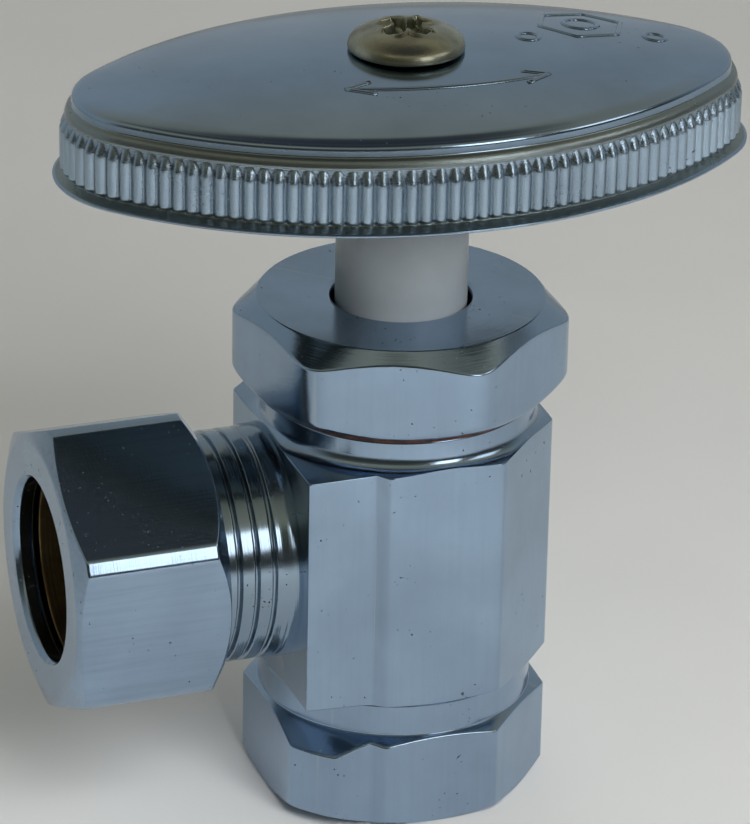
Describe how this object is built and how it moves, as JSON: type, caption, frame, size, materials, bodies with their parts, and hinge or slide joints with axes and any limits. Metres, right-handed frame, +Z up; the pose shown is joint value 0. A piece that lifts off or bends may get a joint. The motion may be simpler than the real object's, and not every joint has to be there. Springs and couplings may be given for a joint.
{
  "type": "angle stop valve",
  "caption": "Chromed angle stop valve with an oval fluted handle, a threaded inlet below and a compression outlet at the side.",
  "frame": {"origin": "on the valve's own axis at the inlet face, where the supply pipe screws in", "axes": "+Z up along the stem towards the handle, -X out along the compression outlet"},
  "size_m": [0.0632, 0.0374, 0.0703],
  "materials": {
    "plated_body": "polished plating over brass with small pits",
    "plated_nut": "polished plating over brass, worn on the edges",
    "plated_handle": "polished plating over a casting",
    "raw_brass": "turned",
    "spring_steel": "plain",
    "worn_steel": "dull plated, worn in the recess",
    "white_plastic": "slightly translucent",
    "black_rubber": "moulded",
    "fibre": "pressed vulcanised fibre"
  },
  "bodies": {
    "valve": {"valve_body": "plated_body", "bonnet_nut": "plated_nut", "bonnet_gasket": "fibre", "stem_bush": "raw_brass", "packing_ring": "black_rubber", "packing_washer": "raw_brass"},
    "washer_swivel": {"washer_carrier": "raw_brass", "carrier_clip": "spring_steel", "seat_washer": "black_rubber", "seat_washer_screw": "raw_brass"},
    "spindle": {"stem": "white_plastic", "handle": "plated_handle", "handle_screw": "worn_steel"},
    "ferrule": {"compression_ferrule": "raw_brass"},
    "tube_nut": {"compression_nut": "plated_nut"}
  },
  "joints": [
    {"name": "stem_lift", "type": "slide", "parent": "valve", "child": "washer_swivel", "axis": [0, 0, 1], "range_m": [-0.006, 0]},
    {"name": "handle_turn", "type": "hinge", "parent": "washer_swivel", "child": "spindle", "pos_m": [0, 0, 0.058], "axis": [0, 0, 1], "range_deg": [-1440, 0]},
    {"name": "nut_travel", "type": "slide", "parent": "valve", "child": "ferrule", "axis": [1, 0, 0], "range_m": [-0.007, 0.001]},
    {"name": "nut_turn", "type": "hinge", "parent": "ferrule", "child": "tube_nut", "pos_m": [-0.026, 0, 0.0237], "axis": [1, 0, 0], "range_deg": [-1585, 225]}
  ],
  "couplings": [
    {"joint": "stem_lift", "follows": "handle_turn", "m_per_rad": 0.00023873},
    {"joint": "nut_travel", "follows": "nut_turn", "m_per_rad": 0.00025266}
  ]
}
